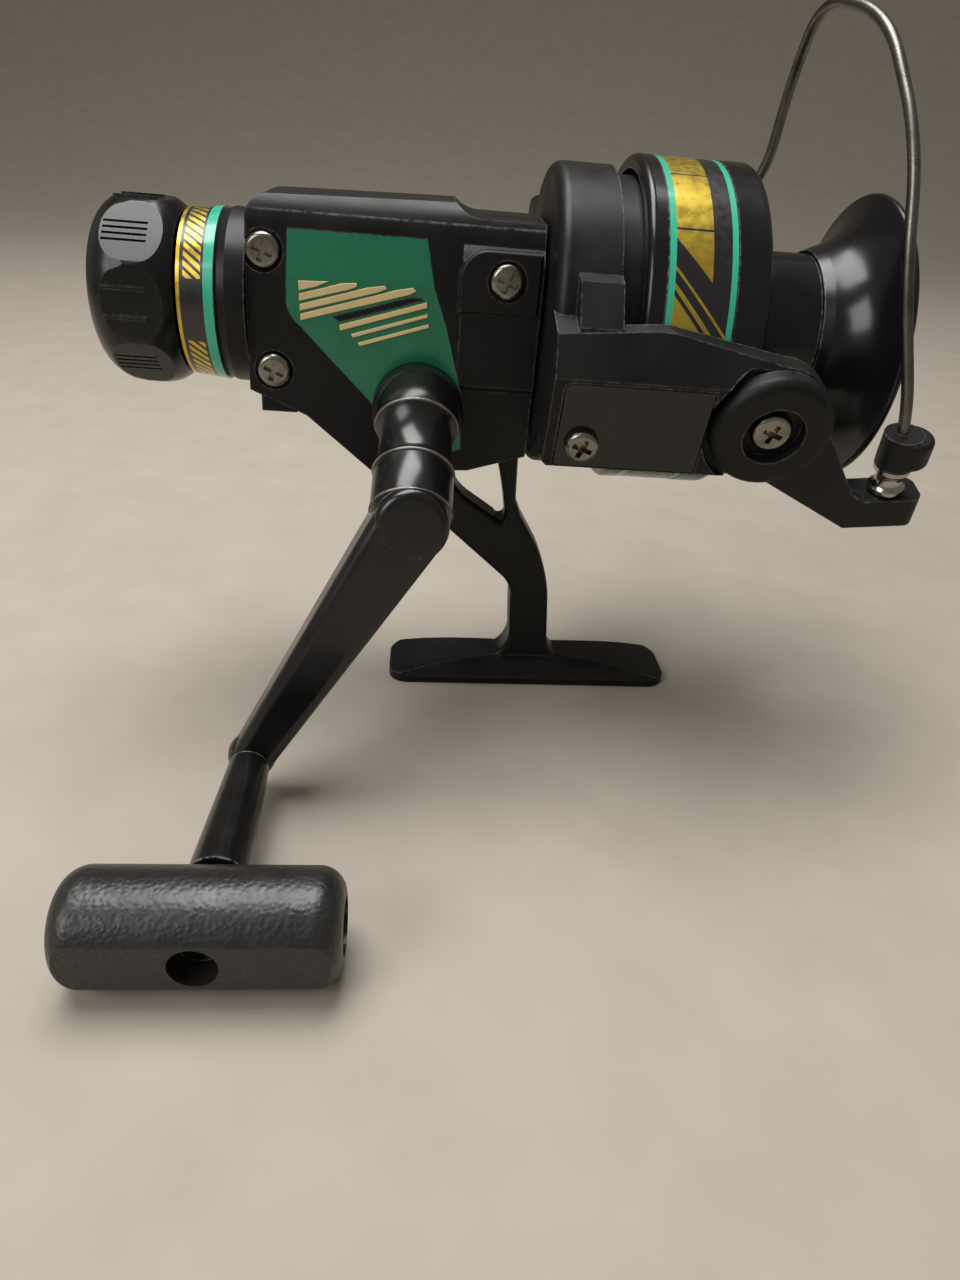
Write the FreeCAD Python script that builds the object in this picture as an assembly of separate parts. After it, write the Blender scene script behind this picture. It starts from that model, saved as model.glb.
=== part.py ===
import FreeCAD, Part
import math
import os

# A fixed-spool fishing reel with a rear drag knob, a skirted spool, a flip-over bail and a
# T-shaped crank knob.  Sizes are in millimetres.  Nearly every piece is drawn in the reel's own
# frame, with the spool axis level: X runs along the spool axis towards the spool, Y runs across
# the body away from the handle side, Z is up.  The whole reel is then tipped by TILT about the
# middle of the foot, because the foot's flat face is not quite parallel to the spool axis.

TILT = 1.356             # degrees the spool axis dips towards the front
AXIS_H = 78.0            # height of the spool axis over the foot's face
DRIVE_X = -27.7          # crank axis, along the spool axis
DRIVE_H = 62.85          # crank axis, height
ARM_TURN = 17.0          # degrees the rotor stands turned about the spool axis
BAIL_TURN = 7.0          # degrees the bail stands turned about its pivots
STROKE = 10.0            # travel of the spool
RUN = 0.05               # radial clearance of a running fit
SCREW_R = 3.0            # pan head radius of the housing screws
SHAFT_R = 2.5            # main shaft
HALF_WIDTH = 12.9        # half the width of the gear housing
COVER_BACK = -10.3       # inner face of the side cover
FOOT_LENGTH = 63.0
FOOT_WIDTH = 15.6
SKIRT_R = 28.7
FLANGE_R = 26.6
CUP_R = 25.2
LIP_R = 25.8
LIP_X = 55.2
ARBOR_R = 14.8
PIVOT_X = 31.6           # bail pivots, along the spool axis
ARM_FACE = 34.0          # outer face of a rotor arm, from the spool axis
STACK_X = 56.15          # line roller axis, before the bail's turn
STACK_N = 30.8           # line roller axis, from the spool axis
KNOB_X = -54.5           # crank knob, in the foot's frame
KNOB_Y = -85.8
KNOB_R = 8.5
KNOB_LENGTH = 39.9
KNOB_FLAT = 7.5          # its smooth outer panel, from its middle line
GEAR_TEETH = 25
PINION_TEETH = 5
OSC_DRIVER_TEETH = 12
OSC_TEETH = 21
OSC_MODULE = 0.8

V = FreeCAD.Vector
ORIGIN = V(0, 0, 0)
ALONG = V(1, 0, 0)
ACROSS = V(0, 1, 0)
UP = V(0, 0, 1)
HUB = V(0, 0, AXIS_H)


def wire_of(points, place):
    """Closed wire through 2-D points; an entry of two points is an arc by its middle and end."""
    edges = []
    start = points[0]
    here = start
    for entry in list(points[1:]) + [start]:
        if isinstance(entry[0], tuple):
            middle, end = entry
            edges.append(Part.Arc(place(*here), place(*middle), place(*end)).toShape())
        else:
            end = entry
            if end != here:
                edges.append(Part.LineSegment(place(*here), place(*end)).toShape())
        here = end
    return Part.Wire(edges)


def slab(points, low, high):
    """Outline in X and Z, extruded across the reel from low to high in Y."""
    face = Part.Face(wire_of(points, lambda x, z: V(x, low, z)))
    return face.extrude(V(0, high - low, 0))


def bar(points, low, high):
    """Outline in Y and Z, extruded along the reel from low to high in X."""
    face = Part.Face(wire_of(points, lambda y, z: V(low, y, z)))
    return face.extrude(V(high - low, 0, 0))


def lathe(points):
    """Outline in X and radius, turned about the spool axis."""
    face = Part.Face(wire_of(points, lambda x, r: V(x, 0, AXIS_H + r)))
    return face.revolve(HUB, ALONG, 360)


def rod(start, direction, radius, length):
    return Part.makeCylinder(radius, length, start, direction)


def rod_y(x, z, radius, low, high):
    return rod(V(x, low, z), ACROSS, radius, high - low)


def rod_x(radius, low, high):
    return rod(V(low, 0, AXIS_H), ALONG, radius, high - low)


def block(x, y, z):
    """Box from three (low, high) pairs."""
    return Part.makeBox(x[1] - x[0], y[1] - y[0], z[1] - z[0], V(x[0], y[0], z[0]))


def rounded(shape, radius, chosen):
    """Fillet the edges whose middle point passes the test."""
    edges = []
    for edge in shape.Edges:
        middle = edge.valueAt((edge.FirstParameter + edge.LastParameter) / 2)
        if chosen(middle, edge):
            edges.append(edge)
    return shape.makeFillet(radius, edges)


def one(shape):
    """Fused shape without its seam lines."""
    return shape.removeSplitter()


def turned(shape, angle=ARM_TURN):
    """From the rotor's drawing pose, arms level, to its place about the spool axis."""
    done = shape.copy()
    done.rotate(HUB, ALONG, angle)
    return done


def bail_turned(shape):
    """The bail's turn about its pivots, then the rotor's turn."""
    done = shape.copy()
    done.rotate(V(PIVOT_X, 0, AXIS_H), ACROSS, -BAIL_TURN)
    return turned(done)


def level(shape):
    """A piece drawn square to the foot's face, put into the reel's frame."""
    done = shape.copy()
    done.rotate(ORIGIN, ACROSS, -TILT)
    return done


def pan_screw(head, direction, length, head_r=SCREW_R, shank_r=1.3):
    """Pan-head screw with a cross recess; head is the seat of the head, direction goes in."""
    out = direction * -1
    dome = rod(head, out, head_r, 1.7)
    dome = rounded(dome, 1.0, lambda p, e: (p - head).dot(out) > 1.6)
    screw = dome.fuse(rod(head, direction, shank_r, length))
    side = direction.cross(V(0.3, 0.5, 0.81)).normalize()
    for arm in (side, direction.cross(side)):
        other = direction.cross(arm)
        corner = head + out * 0.6 - arm * 1.8 - other * 0.45
        slot = Part.makePolygon([corner, corner + arm * 3.6, corner + arm * 3.6 + other * 0.9,
                                 corner + other * 0.9, corner])
        screw = screw.cut(Part.Face(slot).extrude(out * 2.0))
    return one(screw)


# ---------------------------------------------------------------- gear housing, stem and foot

BODY = [(-58.0, 64.2), (-48.0, 60.1), (-36.1, 50.3), (-17.8, 51.4), (-7.0, 54.8), (-7.0, 94.9),
        (-17.6, 94.9), ((-20.6, 95.5), (-22.6, 97.0)), (-54.6, 96.1), ((-57.0, 95.0), (-58.0, 92.6))]
FOLD_H = 84.0            # above this the cover leans back to its top edge
TOP_EDGE = (-11.2, 91.6)
BODY_SECTION = [(-HALF_WIDTH, 40.0), (-HALF_WIDTH, FOLD_H), TOP_EDGE, ((-9.4, 95.2), (-4.6, 97.6)),
                (4.6, 97.6), ((10.2, 95.6), (HALF_WIDTH, 92.0)), (HALF_WIDTH, 40.0)]
CAVITY = [(-55.6, 66.2), (-47.2, 62.4), (-35.3, 52.6), (-18.9, 53.6), (-18.9, 92.2), (-55.6, 92.2)]
STEM = [(-7.2, 56.0), (-6.6, 42.0), (-5.0, 38.4), (-1.2, 32.2), ((1.6, 25.4), (2.9, 18.0)), (3.6, 10.4),
        ((4.9, 6.6), (8.6, 4.4)), (8.6, 2.0), (-9.6, 2.0), (-9.6, 4.4), ((-6.2, 7.0), (-5.2, 12.2)),
        (-5.7, 19.0), ((-6.3, 22.4), (-8.4, 25.0)), (-36.1, 48.4), (-36.1, 56.0)]
STEM_WINDOW = [(-11.7, 51.9), ((-9.4, 43.6), (-8.5, 38.6)), ((-9.2, 37.4), (-10.6, 38.0)),
               (-16.6, 41.9), ((-19.2, 44.6), (-20.6, 51.7))]
STEM_HALF = 3.7
BOSS_R = 8.2
BOSS_FACE = -19.0
LEVER_PIVOT = (-54.1, 65.3)
COVER_SCREWS = [(-55.0, 87.6, -11.2), (-53.6, 67.9, -12.0), (-13.3, 85.8, -13.4)]   # x, z and seat of the head
SCREW_TIP = -6.3
LABEL_SINK = 0.4         # depth of the label's bed in the cover
LABEL_PROUD = 0.25
LABEL = [(-50.8, 91.2), (-51.1, 81.2), ((-50.7, 78.2), (-48.9, 76.0)), (-31.0, 58.0),
         ((-27.4, 55.4), (-22.6, 54.4)), (-19.4, 55.6), (-20.0, 66.0), (-23.4, 77.6), (-25.7, 83.6),
         (-27.3, 91.2)]


def body_block():
    """Outside of the gear housing and the round neck in front of it, still one block."""
    block_ = slab(BODY, -HALF_WIDTH, HALF_WIDTH).common(bar(BODY_SECTION, -60, -5))
    neck = rod_x(17.2, -21.0, -7.0).common(block((-22, -6), (-13.6, 13.6), (60, 97)))
    return one(block_.fuse(neck))


def foot():
    half = FOOT_LENGTH / 2
    side = FOOT_WIDTH / 2
    long_way = slab([(-half, 0.0), (half, 0.0), (half, 1.7), ((0.0, 5.6), (-half, 1.7))], -side, side)
    wide_way = bar([(-side, 0.0), (side, 0.0), (side, 1.7), ((0.0, 6.0), (-side, 1.7))], -half, half)
    plate = long_way.common(wide_way)
    plate = rounded(plate, 4.2, lambda p, e: abs(p.x) > half - 0.1 and abs(p.y) > side - 0.1)
    return plate


def stem():
    web = slab(STEM, -STEM_HALF, STEM_HALF).cut(slab(STEM_WINDOW, -9, 9))
    return rounded(web, 1.2, lambda p, e: abs(abs(p.y) - STEM_HALF) < 0.01)


def main_housing():
    shell = body_block().cut(block((-62, -4), (-20, COVER_BACK), (40, 100)))
    shell = shell.cut(slab(CAVITY, COVER_BACK - 1, 10.3))
    web = stem().fuse(level(foot()))
    shell = shell.fuse(web)
    # seats of the front bearing and the drive shaft, and the tube round the drag stack
    shell = shell.fuse(rod_x(10.2, -57.0, -50.4))
    shell = shell.cut(rod_x(9.0, -59.0, -49.0))
    shell = shell.cut(rod_x(5.2, -20.0, -6.0)).cut(rod_x(8.0, -16.6, -10.4)).cut(rod_x(13.0, -10.4, -6.0))
    shell = shell.fuse(rod_y(DRIVE_X, DRIVE_H, 7.6, 10.3, 15.0))
    shell = shell.cut(rod_y(DRIVE_X, DRIVE_H, 5.2, 9.0, 16.0))
    shell = shell.cut(rod_y(DRIVE_X, DRIVE_H, 10.1, -3.9, 3.5))
    # posts for the two rear cover screws; the front one goes into the solid neck
    for x, z, _ in COVER_SCREWS[:2]:
        post = rod_y(x, z, 2.4, COVER_BACK, 8.0).common(body_block())
        shell = shell.fuse(post.cut(rod_x(9.0, -59.0, -49.0)))
    for x, z, _ in COVER_SCREWS:
        shell = shell.cut(rod_y(x, z, 1.3, -12.0, -6.0))
    # slot and pin hole of the anti-reverse lever
    x, z = LEVER_PIVOT
    shell = shell.cut(block((x - 3.0, x + 3.0), (-2.2, 2.2), (58.0, z + 1.9)))
    shell = shell.cut(rod_y(x, z, 0.7, -5.2, 5.2))
    return one(shell)


def face_layer(low, high):
    """Layer that follows the cover's outer face and its fold, from low to high above it."""
    x, z = TOP_EDGE
    return bar([(-HALF_WIDTH - low, 40), (-HALF_WIDTH - low, FOLD_H), (x - low, z), (x - low, 100),
                (x - high, 100), (x - high, z), (-HALF_WIDTH - high, FOLD_H), (-HALF_WIDTH - high, 40)],
               -60, -5)


def label_area(inner):
    """Prism over the label's outline, without the round boss of the crank."""
    return slab(LABEL, -16.0, -9.0).cut(rod_y(DRIVE_X, DRIVE_H, inner, -20, -8))


def side_cover():
    plate = body_block().common(block((-62, -4), (-14, COVER_BACK), (40, 100)))
    plate = plate.cut(rod_x(13.0, -10.4, -6.0)).cut(rod_x(8.0, -16.6, -10.4))
    boss = rod_y(DRIVE_X, DRIVE_H, BOSS_R, BOSS_FACE, COVER_BACK)
    boss = rounded(boss, 1.2, lambda p, e: p.y < BOSS_FACE + 0.1)
    plate = plate.fuse(boss)
    # raised D round the front screw
    ear = slab([(-21.5, 80.2), (-7.4, 80.2), (-7.4, 90.6), (-17.0, 90.6), ((-20.6, 88.6), (-21.5, 85.0))],
               -14.3, -12.0)
    plate = plate.fuse(rounded(ear, 0.6, lambda p, e: p.y < -14.2))
    plate = plate.cut(label_area(BOSS_R).common(face_layer(-LABEL_SINK, 2.5)))
    plate = plate.cut(rod_y(DRIVE_X, DRIVE_H, 5.2, -20.0, -9.0))
    for x, z, seat in COVER_SCREWS:
        plate = plate.cut(rod_y(x, z, SCREW_R + 0.4, seat - 2.5, seat))
        plate = plate.cut(rod_y(x, z, 1.5, -15.0, -9.0))
    return one(plate)


def side_label():
    """Green foil plate in its bed; it folds back with the cover."""
    return one(label_area(BOSS_R + RUN).common(face_layer(-LABEL_SINK, LABEL_PROUD)))


def cover_screws():
    screws = []
    for x, z, seat in COVER_SCREWS:
        screws.append(pan_screw(V(x, seat, z), ACROSS, SCREW_TIP - seat))
    return Part.makeCompound(screws)


def drive_bushes():
    near = rod_y(DRIVE_X, DRIVE_H, 5.2, -18.6, -9.4)
    far = rod_y(DRIVE_X, DRIVE_H, 5.2, 9.4, 14.8)
    bore = rod_y(DRIVE_X, DRIVE_H, 3.0 + RUN, -30, 30)
    return Part.makeCompound([near.cut(bore), far.cut(bore)])


def pinion_bearing():
    """Ball bearing behind the rotor: two races and the balls between them."""
    middle = -13.6
    outer = rod_x(8.0, -16.0, -11.2).cut(rod_x(6.9, -17, -10))
    inner = rod_x(5.1, -16.0, -11.2).cut(rod_x(4.0 + RUN, -17, -10))
    pieces = [outer, inner]
    for turn in range(9):
        angle = math.radians(40 * turn)
        centre = V(middle, 6.0 * math.sin(angle), AXIS_H + 6.0 * math.cos(angle))
        pieces.append(Part.makeSphere(0.88, centre))
    return Part.makeCompound(pieces)


# ---------------------------------------------------------------- rear drag

DRAG_SCREW_R = 9.4       # threaded tube of the drag knob


def drag_collar():
    """Black collar behind the housing, which carries the printed band."""
    bore = DRAG_SCREW_R + RUN
    return lathe([(-69.8, bore), (-69.8, 13.3), (-63.2, 13.95), (-63.2, 14.3), (-61.4, 15.0),
                  (-58.0, 15.0), (-58.0, bore)])


def drag_band():
    return lathe([(-69.5, 13.34), (-69.5, 14.3), (-63.2, 14.9), (-63.2, 13.95)])


def drag_washers():
    """Stack in the drag tube: keyed metal washers between fibre ones."""
    stack = []
    for turn in range(6):
        start = -56.6 + turn * 0.95
        stack.append(rod_x(8.6, start, start + 0.9).cut(rod_x(3.4, -60, -40)))
    return Part.makeCompound(stack)


def drag_sleeve():
    """Tube that the washers grip and the main shaft slides in."""
    return rod_x(3.3, -66.0, -50.6).cut(rod_x(SHAFT_R + RUN, -70, -40))


def drag_spring_washer():
    return lathe([(-60.6, 4.2), (-60.6, 5.4), (-58.6, 8.2), (-57.4, 8.2), (-57.4, 7.4), (-59.8, 4.2)])


def facet_bars(angles, offsets, width, low, high):
    """Short bars along the knob's facets, from low to high above their middle lines."""
    bars = []
    for angle in angles:
        for offset in offsets:
            bar_ = block((-81.6, -74.2), (offset - width / 2, offset + width / 2),
                         (AXIS_H + low, AXIS_H + high))
            bar_.rotate(HUB, ALONG, angle)
            bars.append(bar_)
    return Part.makeCompound(bars)


def drag_knob():
    """Eight-sided knob, grooved and ribbed in turn; its threaded tube presses on the spring washer."""
    body = lathe([(-85.3, 0.0), (-85.3, 10.8), ((-83.6, 14.0), (-80.0, 16.1)), (-77.0, 16.5),
                  (-75.2, 16.4), ((-72.2, 15.6), (-70.2, 14.0)), (-70.2, 12.8), (-80.5, 11.5),
                  (-80.5, 0.0)])
    flats = []
    for turn in range(8):
        angle = math.radians(22.5 + 45 * turn)
        flats.append(V(-90, 16.55 * math.sin(angle), AXIS_H + 16.55 * math.cos(angle)))
    prism = Part.Face(Part.makePolygon(flats + flats[:1])).extrude(V(30, 0, 0))
    prism = rounded(prism, 1.6, lambda p, e: -80 < p.x < -70)
    body = body.common(prism)
    flat_h = 16.55 * math.cos(math.radians(22.5))
    body = body.cut(facet_bars((45, 135, 225, 315), (-1.8, -0.6, 0.6, 1.8), 0.5, flat_h - 0.45, flat_h + 1))
    body = body.fuse(facet_bars((0, 90, 180, 270), (-2.4, 2.4), 0.7, flat_h - 1, flat_h + 0.35))
    tube = rod_x(DRAG_SCREW_R, -81.0, -60.9).cut(rod_x(7.6, -79.0, -62.0)).cut(rod_x(3.6, -63.0, -60.0))
    return one(body.fuse(tube))


# ---------------------------------------------------------------- gears and shafts

def toothed(radius_root, radius_tip, teeth, centre, axis, side, land=0.42):
    """Closed wire of a gear outline round centre, square to axis; side is where a tooth points."""
    other = axis.cross(side)
    points = []
    step = 2 * math.pi / teeth
    for tooth in range(teeth):
        for offset, radius in ((-0.5 * (1 - land) - 0.02, radius_root), (-0.14, radius_tip),
                               (0.14, radius_tip), (0.5 * (1 - land) + 0.02, radius_root)):
            angle = step * (tooth + offset)
            points.append(centre + side * (radius * math.cos(angle)) + other * (radius * math.sin(angle)))
    return Part.makePolygon(points + points[:1])


def spun(direction, axis, angle):
    return FreeCAD.Rotation(axis, angle).multVec(direction)


def helical(radius_root, radius_tip, teeth, start, axis, length, twist, steps):
    """Gear with twisted teeth, lofted through turned copies of its outline."""
    side = UP if abs(axis.z) < 0.5 else ALONG
    wires = []
    for step in range(steps + 1):
        part = step / steps
        wires.append(toothed(radius_root, radius_tip, teeth, start + axis * (length * part), axis,
                             spun(side, axis, twist * part)))
    return Part.makeLoft(wires, True, True)


def drive_gear():
    """Main gear with its shaft and the small gear that drives the oscillation."""
    wheel = helical(8.7, 9.75, GEAR_TEETH, V(DRIVE_X, -3.4, DRIVE_H), ACROSS, 3.5, 8.5, 3)
    shaft = rod_y(DRIVE_X, DRIVE_H, 3.0, -19.2, 14.9)
    small = Part.Face(toothed(3.9, 5.1, OSC_DRIVER_TEETH, V(DRIVE_X, 4.0, DRIVE_H), ACROSS,
                              osc_direction())).extrude(V(0, 3.2, 0))
    neck = rod_y(DRIVE_X, DRIVE_H, 3.6, 2.5, 8.9)
    return one(wheel.fuse(shaft).fuse(neck).fuse(small))


def osc_direction():
    """Direction from the crank axis to the oscillation gear's axis."""
    return V(-11.8, 0, 5.65).normalize()


def osc_centre():
    distance = OSC_MODULE * (OSC_DRIVER_TEETH + OSC_TEETH) / 2
    return V(DRIVE_X, 0, DRIVE_H) + osc_direction() * distance


def oscillation_gear():
    """Gear with a cam pin; half a pitch is added so that a gap faces the small gear's tooth."""
    centre = osc_centre()
    facing = spun(osc_direction() * -1, ACROSS, 180.0 / OSC_TEETH)
    pitch_r = OSC_MODULE * OSC_TEETH / 2
    gear = Part.Face(toothed(pitch_r - 0.95, pitch_r + 0.3, OSC_TEETH, centre + V(0, 4.3, 0), ACROSS,
                             facing)).extrude(V(0, 2.6, 0))
    gear = gear.cut(rod_y(centre.x, centre.z, 1.5 + RUN, 0, 12))
    pin = rod_y(centre.x - STROKE / 2, centre.z, 1.2, 3.0, 4.4)
    return one(gear.fuse(pin))


def oscillation_pin():
    centre = osc_centre()
    return rod_y(centre.x, centre.z, 1.5, 3.6, 10.3)


def pinion_gear():
    """Pinion on the spool axis: steep teeth over the main gear, then a tube out to the rotor."""
    teeth = helical(4.1, 5.2, PINION_TEETH, V(-34.5, 0, AXIS_H), ALONG, 12.5, 385.0, 26)
    tube = rod_x(4.0, -34.9, -6.25).fuse(rod_x(3.55, -6.3, 5.4))
    return one(teeth.fuse(tube)).cut(rod_x(SHAFT_R + RUN, -40, 10))


def ratchet_wheel():
    """Anti-reverse ratchet on the pinion, in the recess behind the rotor."""
    teeth = 20
    points = []
    for tooth in range(teeth):
        for part, radius in ((0.0, 9.6), (0.82, 11.4), (0.88, 11.4)):
            angle = 2 * math.pi * (tooth + part) / teeth
            points.append(V(-9.9, radius * math.sin(angle), AXIS_H + radius * math.cos(angle)))
    wheel = Part.Face(Part.makePolygon(points + points[:1])).extrude(V(1.9, 0, 0))
    return wheel.cut(rod_x(4.0, -12, 0))


def main_shaft():
    shaft = rod_x(SHAFT_R, -63.0, 47.8)
    return rounded(shaft, 0.6, lambda p, e: abs(e.Length - 2 * math.pi * SHAFT_R) < 0.1)


def oscillation_slider():
    """Block that pushes the main shaft to and fro; its plate hangs beside the oscillation gear."""
    body = block((-49.6, -46.2), (-3.6, 2.6), (AXIS_H - 6.4, AXIS_H + 4.2))
    plate = block((-47.4, -41.9), (0.4, 2.6), (62.6, AXIS_H - 5.5))
    slider = body.fuse(plate).cut(rod_x(SHAFT_R + RUN, -60, -40))
    slot = block((-46.1, -43.2), (-1, 4), (63.8, AXIS_H - 6.4))
    return one(slider.cut(slot))


def shaft_clips():
    """Rings on the main shaft that keep it in step with the slider while it turns in it."""
    rear = rod_x(4.0, -50.35, -49.65).cut(rod_x(SHAFT_R, -60, -40))
    front = rod_x(4.0, -46.15, -45.45).cut(rod_x(SHAFT_R, -60, -40))
    return Part.makeCompound([rear, front])


# ---------------------------------------------------------------- anti-reverse lever

def anti_reverse_lever():
    """Small switch under the rear of the housing, on a cross pin."""
    x, z = LEVER_PIVOT
    tab = slab([(-57.4, 58.2), (-50.8, 58.2), (-50.8, 59.9), (-57.4, 62.3)], -5.4, 3.6)
    tab = rounded(tab, 0.5, lambda p, e: abs(p.y + 5.4) < 0.01)
    stalk = block((x - 1.0, x + 1.0), (-1.6, 1.6), (60.5, z))
    eye = rod_y(x, z, 1.4, -1.6, 1.6)
    return one(tab.fuse(stalk).fuse(eye)).cut(rod_y(x, z, 0.7 + RUN, -5, 5))


def anti_reverse_pin():
    x, z = LEVER_PIVOT
    return rod_y(x, z, 0.7, -5.2, 5.2)


# ---------------------------------------------------------------- rotor

ARM = [(-6.2, -8.6), (-6.2, 12.4), (12.0, 13.6), (PIVOT_X, 10.4), ((PIVOT_X + 10.4, 0.0), (PIVOT_X, -10.4)),
       (2.0, -11.6), (-3.4, -11.4)]
ARM_SECTION = [(-ARM_FACE, -9.4), (-ARM_FACE, 7.2), (-28.6, 13.4), (-18.0, 15.0), (-18.0, -15.0),
               (-30.6, -11.6)]
ARM_ROOT = [(-28.6, 13.2), (-22.4, 18.0), (-17.0, 18.0), (-17.0, 10.0), (-28.6, 10.0)]
ARM_COVER = [(-4.4, -9.0), (-4.4, 5.6), (-3.4, 6.6), (20.6, 6.6), (20.6, -9.4), (-3.4, -9.4)]
ARM_POCKET = [(2.6, -7.4), (19.2, -7.4), (19.2, 4.8), (2.6, 4.8)]


def shifted(points, up=AXIS_H):
    """Outline given about the spool axis, lifted to its height."""
    lifted = []
    for entry in points:
        if isinstance(entry[0], tuple):
            lifted.append(tuple((x, z + up) for x, z in entry))
        else:
            lifted.append((entry[0], entry[1] + up))
    return lifted


def opposite(shape):
    """The same piece on the other arm."""
    done = shape.copy()
    done.rotate(HUB, ALONG, 180)
    return done


def rotor_arm():
    arm = slab(shifted(ARM), -ARM_FACE, -18.0).common(bar(shifted(ARM_SECTION), -8, 45))
    arm = arm.fuse(bar(shifted(ARM_ROOT), -2.7, 4.4))
    arm = arm.cut(rod_x(SKIRT_R + 0.6, 4.4, 60)).cut(rod_x(23.4, -3.4, 5))
    arm = arm.cut(rod_y(PIVOT_X, AXIS_H, 11.6, -40, -31.6))
    arm = arm.cut(slab(shifted(ARM_COVER), -40, -ARM_FACE + 1.0))
    return arm.cut(slab(shifted(ARM_POCKET), -40, -30.6))


def rotor():
    cup = lathe([(-6.2, 3.6), (-6.2, 24.6), ((-5.6, 26.0), (-4.2, FLANGE_R)), (4.4, FLANGE_R), (4.4, CUP_R),
                 (18.0, CUP_R), (18.0, 23.4), (-3.4, 23.4), (-3.4, 7.0), (1.8, 7.0), (1.8, 3.6)])
    arm = rotor_arm()
    body = cup.fuse(arm).fuse(opposite(arm))
    for side in (-1, 1):
        low, high = sorted((side * 40.0, side * 28.0))
        body = body.cut(rod_y(PIVOT_X, AXIS_H, 2.0, low, high))
    hole = rod_y(0.0, AXIS_H - 4.6, 1.3, -40, -28.0)
    body = body.cut(hole).cut(opposite(hole))
    return turned(one(body))


def arm_cover():
    plate = slab(shifted(ARM_COVER), -ARM_FACE, -ARM_FACE + 1.0)
    plate = rounded(plate, 0.4, lambda p, e: p.y < -ARM_FACE + 0.1)
    return plate.cut(rod_y(0.0, AXIS_H - 4.6, 1.4, -40, -28))


def arm_cover_near():
    return turned(arm_cover())


def arm_cover_far():
    return turned(opposite(arm_cover()))


def arm_cover_screws():
    screw = pan_screw(V(0.0, -ARM_FACE, AXIS_H - 4.6), ACROSS, 5.6, 2.9)
    return Part.makeCompound([turned(screw), turned(opposite(screw))])


def rotor_nut():
    corners = []
    for turn in range(6):
        angle = math.radians(60 * turn)
        corners.append(V(1.9, 6.4 * math.sin(angle), AXIS_H + 6.4 * math.cos(angle)))
    nut = Part.Face(Part.makePolygon(corners + corners[:1])).extrude(V(3.2, 0, 0))
    return turned(nut.cut(rod_x(3.6, 0, 8)))


def coil(radius, wire_r, pitch, length):
    """Round spring along Z from the origin."""
    path = Part.makeHelix(pitch, length, radius)
    circle = Part.makeCircle(wire_r, V(radius, 0, 0), V(0, 1, pitch / (2 * math.pi * radius)))
    return Part.Wire(path.Edges).makePipeShell([Part.Wire(circle)], True, True)


def bail_spring():
    spring = coil(0.85, 0.2, 1.1, 13.2)
    spring.rotate(ORIGIN, ACROSS, 90)
    spring.translate(V(4.2, -31.75, AXIS_H + 1.4))
    return turned(spring)


def trip_lever():
    """Rocker in the near arm's pocket that trips the bail shut."""
    lever = slab(shifted([(3.4, -6.6), (17.6, -6.6), (17.6, -4.4), (9.0, -2.2), (3.4, -4.0)]), -32.6, -30.9)
    return turned(lever)


def bail_pivot_screws():
    near = pan_screw(V(PIVOT_X, -33.1, AXIS_H), ACROSS, 3.6, 3.5, 2.0)
    return Part.makeCompound([turned(near), turned(opposite(near))])


# ---------------------------------------------------------------- bail

def bail_disc(radius):
    """Domed end of the bail on its pivot, with a sunk seat for the screw."""
    disc = rod_y(PIVOT_X, AXIS_H, radius, -35.6, -31.8)
    disc = rounded(disc, 2.0, lambda p, e: p.y < -35.5)
    disc = disc.cut(rod_y(PIVOT_X, AXIS_H, 5.2, -40, -33.1))
    return disc.cut(rod_y(PIVOT_X, AXIS_H, 2.0 + RUN, -40, -30))


def bail_arm():
    link = slab(shifted([(PIVOT_X + 5.4, 7.6), (48.6, -13.6), (51.2, -15.3), (51.2, -21.2), (48.8, -21.2),
                         (PIVOT_X + 1.0, -10.0)]), -34.6, -31.8)
    link = link.cut(rod_y(PIVOT_X, AXIS_H, 9.0, -36, -31))
    bracket = block((48.8, 62.0), (-34.6, -27.4), (AXIS_H - 21.2, AXIS_H - 15.4))
    bracket = rounded(bracket, 2.2, lambda p, e: p.x > 61.9 and abs(p.z - AXIS_H + 18.3) < 1)
    arm = bail_disc(10.2).fuse(link).fuse(bracket)
    arm = arm.cut(rod(V(STACK_X, -STACK_N, AXIS_H - 30), UP, 1.5, 30))
    return bail_turned(one(arm))


def stack_rod(radius, low, high):
    return rod(V(STACK_X, -STACK_N, AXIS_H + low), UP, radius, high - low)


def line_roller():
    half = 2.5
    middle = -12.55
    face = Part.Face(wire_of([(1.5 + RUN, middle - half), (3.2, middle - half), (3.2, middle - 1.7),
                              ((2.35, middle), (3.2, middle + 1.7)), (3.2, middle + half),
                              (1.5 + RUN, middle + half)],
                             lambda r, z: V(STACK_X + r, -STACK_N, AXIS_H + z)))
    return bail_turned(face.revolve(V(STACK_X, -STACK_N, 0), UP, 360))


def roller_axle():
    axle = stack_rod(1.5, -20.8, -6.0).fuse(stack_rod(2.6, -22.0, -21.2))
    return bail_turned(one(axle.fuse(stack_rod(1.5, -21.3, -20.7))))


def roller_cap():
    cap = stack_rod(3.4, -9.8, -3.6)
    drum = rod(V(STACK_X + 1.5, -STACK_N, AXIS_H - 9.4), UP, 3.9, 5.4)
    drum = rounded(drum, 1.0, lambda p, e: abs(e.Length - 2 * math.pi * 3.9) < 0.1)
    cap = cap.fuse(drum)
    cap = cap.cut(stack_rod(1.5, -12.0, -6.0))
    return bail_turned(one(cap)).cut(bail_wire())


def stack_top():
    """Where the bail wire starts, inside the roller cap."""
    point = Part.Vertex(V(STACK_X, -STACK_N, AXIS_H - 5.4))
    return bail_turned(point).Point


BAIL_ROUTE = [(54.9, -29.3, 74.5), (50.6, -25.6, 92.0), (49.2, -18.6, 112.0), (46.4, -2.0, 130.0),
              (41.6, 16.4, 133.6), (42.4, 26.2, 121.0), (42.0, 28.6, 105.6), (37.2, 31.5, 96.0)]
WIRE_R = 1.0


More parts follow.
